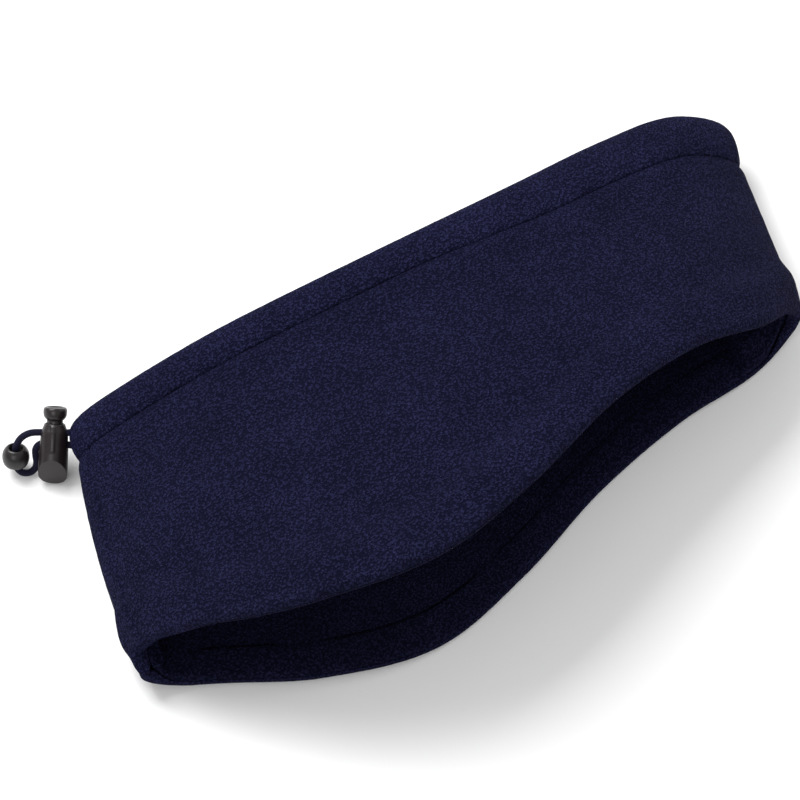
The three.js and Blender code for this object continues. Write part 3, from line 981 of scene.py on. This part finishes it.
class HEADBAND_OT_lining(bpy.types.Operator):
    """Make the inside layer of fleece, with its edge rolled under the rim"""

    bl_idname = "headband.lining"
    bl_label = "Fleece lining"

    def execute(self, context):
        settings = context.scene.headband_band
        pile = settings.pile / MM
        waves = settings.waves / MM

        def inside(turn, down, depth):
            start = seam_down(turn) + PIECE_GAP / 2
            pinch = 0.25 * np.exp(-((down - start) / 5.0) ** 2)
            seam = 0.5 * np.exp(-((turn - SEAM_TURN) / 0.0035) ** 2)
            swell = RIM_SWELL / 2 * smooth_step(down, depth - 20, depth - 8)
            fold = (turn + 0.5) % 1.0 - 0.5
            back = BACK_BULK * np.exp(-np.abs(fold / 0.032) ** 3)
            front = FRONT_BULK * np.exp(-np.abs((turn - 0.5) / 0.028) ** 3)
            flap = smooth_step(turn, 0.510, 0.540) * (1 - smooth_step(turn, 0.596, 0.603))
            flap = FRONT_FLAP * flap * (1 - 0.6 * smooth_step(down, depth - 12, depth - 2))
            bulk = (back + front + flap) * smooth_step(down, depth - 34, depth - 22)
            return WALL_HALF - pinch - seam + swell + bulk - waves * panel_waves(turn, down, depth)

        def place(u, v):
            turn = v
            depth = edges_at(turn)[2]
            start = seam_down(turn) + PIECE_GAP / 2
            down, out = hemmed_profile(u, start, depth, math.pi - rim_seam(turn), -1.0,
                                       lambda rows: inside(turn, rows, depth))
            return pile_points(turn, down, out, pile, 2.0, shown_share(u, down, start))

        lining = bent_grid("lining_fleece", 112, settings.sections, place, wrap_along=True)
        # The lining's copy of the fleece is darkened to 0.78: painted shade of the band's inside.
        lining.data.materials.append(fleece_material("lining fleece painted shade", settings, 0.78))
        hand_over(lining, "band", "fleece_lining", "lining")
        declare_cloth(seam_down, lambda turn: edges_at(turn)[2])
        return {"FINISHED"}


class HEADBAND_OT_channel(bpy.types.Operator):
    """Make the puffy casing along the top edge, with the holes that the cord comes out of"""

    bl_idname = "headband.channel"
    bl_label = "Drawcord channel"

    def execute(self, context):
        settings = context.scene.headband_band
        pile = settings.pile / MM
        end = CHANNEL_DEPTH - PIECE_GAP / 2
        half = CHANNEL_HALF
        wall = CHANNEL_WALL
        outside = [(end, 1.9), (end - 0.8, 2.45), (end - 2.0, 3.05), (end - 3.6, 3.65), (end - 5.6, 4.1),
                   (end - 7.8, 4.3), (end - 9.8, 4.1), (end - 11.6, 3.35), (end - 12.9, 2.25), (0.2, 1.1), (0, 0)]
        inside = [(wall, 0.0), (wall, half - wall - 1.1), (CHANNEL_DEPTH * 0.32, half - wall),
                  (CHANNEL_DEPTH * 0.58, half - wall), (end - 2.5, LAYER_GAP), (end, LAYER_GAP / 2)]
        mirrored = [(down, -out) for down, out in outside[-2::-1]]
        back = [(down, -out) for down, out in inside[::-1]]
        face = rounded(outside + mirrored, 1.4, 4)
        hollow = rounded(back + inside[1:], 0.6, 2)

        def spaced(points, count):
            points = np.array(points, float)
            run = np.r_[0, np.cumsum(np.linalg.norm(np.diff(points, axis=0), axis=1))]
            spots = np.linspace(0, run[-1], count)
            return np.stack([np.interp(spots, run, points[:, k]) for k in range(2)], 1)

        seen_rows = 50
        profile = np.vstack([spaced(face, seen_rows), spaced(hollow, 22), [face[0]]])

        def place(u, v):
            turn = v
            row = np.rint(u * (len(profile) - 1)).astype(int)
            stretch = seam_down(turn) / CHANNEL_DEPTH
            down, out = profile[row, 0] * stretch, profile[row, 1]
            seen = (row < seen_rows) & (profile[row, 0] < end - 0.3)
            ripple = 0.2 * np.sin(2 * np.pi * 46 * turn + 1.3 * np.sin(9 * np.pi * turn))
            ripple = ripple * np.exp(-((profile[row, 0] - (end - 2.5)) / 2.5) ** 2)
            out = out + np.where(seen, np.sign(out) * ripple, 0.0)
            return pile_points(turn, down, out, pile, 3.0, seen.astype(float))

        channel = bent_grid("channel_fleece", len(profile) - 1, settings.sections, place, wrap_along=True)
        radius = 2.3 / 2 + 0.5
        for number, part in enumerate((LOOP_ROUTE[:4], LOOP_ROUTE[-4:])):
            line = route_line(part, 0.6)
            cutter = tube_along(f"eyelet {number}", line, lambda share, run: np.full(len(share), radius), 20)
            cut_with(channel, cutter)
        channel.data.materials.clear()
        # The channel's copy of the fleece is lightened to 1.14: painted light on the puffy crown along the top
        # edge.
        channel.data.materials.append(fleece_material("channel fleece painted light", settings, 1.14))
        hand_over(channel, "band", "fleece_channel", "drawcord_channel")
        declare_cloth(np.zeros_like, seam_down)
        return {"FINISHED"}


class HEADBAND_OT_held_cord(bpy.types.Operator):
    """Give the cord inside the channel its braided finish"""

    bl_idname = "headband.held_cord"
    bl_label = "Cord in the channel"

    def execute(self, context):
        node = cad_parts["drawcord"]
        color = context.scene.headband_cord.cord_color
        node.data.materials.clear()
        node.data.materials.append(cord_material("held cord", color, "Object", 380.0))
        return {"FINISHED"}


class HEADBAND_PT_panel(bpy.types.Panel):
    """Sizes and steps of the headband"""

    bl_idname = "HEADBAND_PT_panel"
    bl_label = "Headband"
    bl_space_type = "VIEW_3D"
    bl_region_type = "UI"
    bl_category = "Headband"

    def draw(self, context):
        column = self.layout.column()
        for name in HeadbandSettings.__annotations__:
            column.prop(context.scene.headband_band, name)
        for name in CordSettings.__annotations__:
            column.prop(context.scene.headband_cord, name)
        for operator in OPERATORS:
            column.operator(operator.bl_idname)


OPERATORS = (
    HEADBAND_OT_stage,
    HEADBAND_OT_lock,
    HEADBAND_OT_bead,
    HEADBAND_OT_cord,
    HEADBAND_OT_held_cord,
    HEADBAND_OT_shell,
    HEADBAND_OT_lining,
    HEADBAND_OT_channel,
)
CLASSES = (HeadbandSettings, CordSettings, *OPERATORS, HEADBAND_PT_panel)


def register():
    for item in CLASSES:
        bpy.utils.register_class(item)
    bpy.types.Scene.headband_band = bpy.props.PointerProperty(type=HeadbandSettings)
    bpy.types.Scene.headband_cord = bpy.props.PointerProperty(type=CordSettings)


def unregister():
    del bpy.types.Scene.headband_cord
    del bpy.types.Scene.headband_band
    for item in reversed(CLASSES):
        bpy.utils.unregister_class(item)


def main():
    register()
    bpy.ops.headband.stage()
    bpy.ops.headband.lock()
    bpy.ops.headband.bead()
    bpy.ops.headband.cord()
    bpy.ops.headband.held_cord()
    bpy.ops.headband.shell()
    bpy.ops.headband.lining()
    bpy.ops.headband.channel()


if __name__ == "__main__":
    main()
